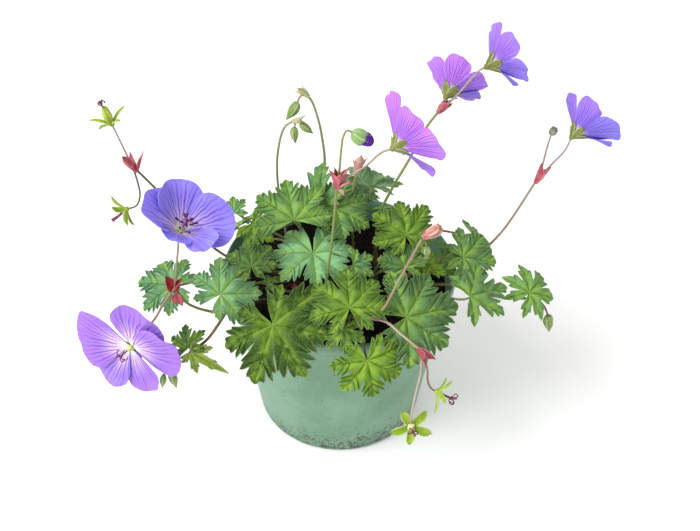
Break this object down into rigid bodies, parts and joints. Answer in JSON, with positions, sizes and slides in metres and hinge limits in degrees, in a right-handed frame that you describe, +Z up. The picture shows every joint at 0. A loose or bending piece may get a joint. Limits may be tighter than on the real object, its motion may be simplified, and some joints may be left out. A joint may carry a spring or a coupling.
{
  "type": "potted hardy geranium",
  "caption": "Cranesbill plant in a round nursery pot: lobed leaf mound, wiry stems, violet five-petalled flowers, buds, seed heads and red bracts.",
  "frame": {"origin": "middle of the flat underside of the pot", "axes": "+Z up; -Y towards the plant's front; +X to the right of someone who looks at its front"},
  "size_m": [0.2802, 0.1745, 0.2416],
  "materials": {
    "pot": "satin",
    "soil": "matte",
    "leaf": "satin",
    "stem": "satin",
    "bract": "matte",
    "petal": "matte",
    "centre": "matte"
  },
  "bodies": {
    "root": {"pot": "pot", "soil": "soil", "shoot_front_left": "leaf", "shoot_left": "leaf", "shoot_centre": "leaf", "shoot_top_left": "leaf", "shoot_top": "leaf", "shoot_right": "leaf", "shoot_front_right": "leaf", "shoot_far_right": "leaf", "shoot_back_left": "leaf", "shoot_back": "leaf", "shoot_back_right": "leaf", "stem_centre": "stem", "stem_right": "stem", "stem_far_right": "stem", "stem_back_left": "stem", "stem_back": "stem", "stem_short": "stem", "stem_far_left": "stem", "stem_left": "stem", "stem_front": "stem", "stem_low_right": "stem", "petals_lower_left": "petal", "centre_lower_left": "centre", "petals_upper_left": "petal", "centre_upper_left": "centre", "petals_centre": "petal", "centre_centre": "centre", "petals_right_middle": "petal", "centre_right_middle": "centre", "petals_right_top": "petal", "centre_right_top": "centre", "petals_far_right": "petal", "centre_far_right": "centre", "bracts_centre": "bract", "bracts_right": "bract", "bracts_far_right": "bract", "bracts_short": "bract", "bracts_far_left": "bract", "bracts_left": "bract", "bracts_front": "bract", "bud_petals": "petal", "calyx_pink": "bract"}
  },
  "joints": []
}
